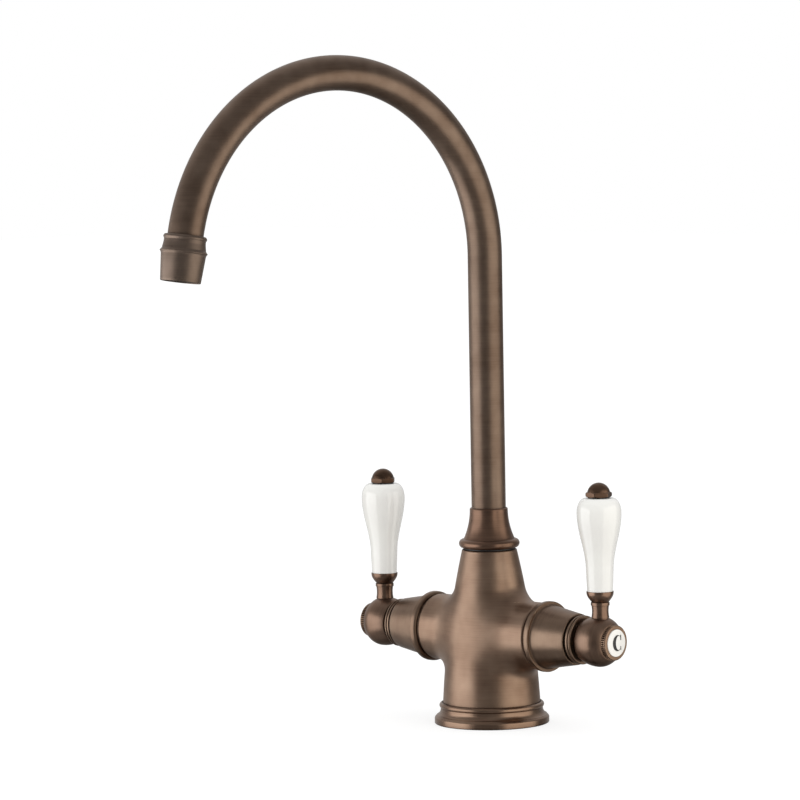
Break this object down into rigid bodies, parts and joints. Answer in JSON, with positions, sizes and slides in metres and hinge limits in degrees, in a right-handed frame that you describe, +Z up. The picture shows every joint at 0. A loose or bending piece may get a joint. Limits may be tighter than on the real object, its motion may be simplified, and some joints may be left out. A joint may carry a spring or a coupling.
{
  "type": "sink mixer tap",
  "caption": "Traditional one-hole kitchen mixer in satin bronze, with a cross-shaped body, a swivelling swan-neck spout and quarter-turn levers with porcelain handles.",
  "frame": {"origin": "centre of the body's underside, on the worktop, under the spout's swivel axis", "axes": "+Z up along the spout's swivel axis; +X along the valve axis towards the cold lever; -Y towards the user, where the spout points when it is swung to the middle"},
  "size_m": [0.1916, 0.2583, 0.39],
  "materials": {
    "bronze": "satin",
    "dark_bronze": "satin",
    "brass": "satin",
    "porcelain": "gloss",
    "ceramic": "satin",
    "rubber": "matte",
    "dark_plastic": "matte"
  },
  "bodies": {
    "mixer_body": {"base_ring": "bronze", "base_seal": "rubber", "body": "bronze", "swivel_washer": "dark_plastic", "cold_seat_seal": "rubber", "cold_fixed_disc": "ceramic", "cold_cartridge": "brass", "cold_shroud": "bronze", "cold_shroud_nut": "dark_bronze", "hot_seat_seal": "rubber", "hot_fixed_disc": "ceramic", "hot_cartridge": "brass", "hot_shroud": "bronze", "hot_shroud_nut": "dark_bronze"},
    "spout": {"spout_tube": "bronze", "spout_collar": "bronze", "spout_spigot": "brass", "spout_o_rings": "rubber", "spout_clip": "brass", "nozzle": "bronze", "aerator_washer": "rubber", "aerator_housing": "brass", "aerator_insert": "dark_plastic"},
    "cold_lever": {"cold_moving_disc": "ceramic", "cold_spindle": "brass", "cold_spindle_o_ring": "rubber", "cold_hub": "bronze", "cold_hub_screw": "brass", "cold_bezel": "bronze", "cold_index_disc": "porcelain", "cold_lever_stem": "bronze", "cold_tie_rod": "brass", "cold_handle": "porcelain", "cold_soft_washers": "rubber", "cold_finial": "dark_bronze"},
    "hot_lever": {"hot_moving_disc": "ceramic", "hot_spindle": "brass", "hot_spindle_o_ring": "rubber", "hot_hub": "bronze", "hot_hub_screw": "brass", "hot_bezel": "bronze", "hot_index_disc": "porcelain", "hot_lever_stem": "bronze", "hot_tie_rod": "brass", "hot_handle": "porcelain", "hot_soft_washers": "rubber", "hot_finial": "dark_bronze"}
  },
  "joints": [
    {"name": "spout_swivel", "type": "hinge", "parent": "mixer_body", "child": "spout", "pos_m": [0, 0, 0.102], "axis": [0, 0, 1], "continuous": true},
    {"name": "cold_turn", "type": "hinge", "parent": "mixer_body", "child": "cold_lever", "pos_m": [0.083, 0, 0.0535], "axis": [1, 0, 0], "range_deg": [0, 90]},
    {"name": "hot_turn", "type": "hinge", "parent": "mixer_body", "child": "hot_lever", "pos_m": [-0.083, 0, 0.0535], "axis": [1, 0, 0], "range_deg": [0, 90]}
  ]
}
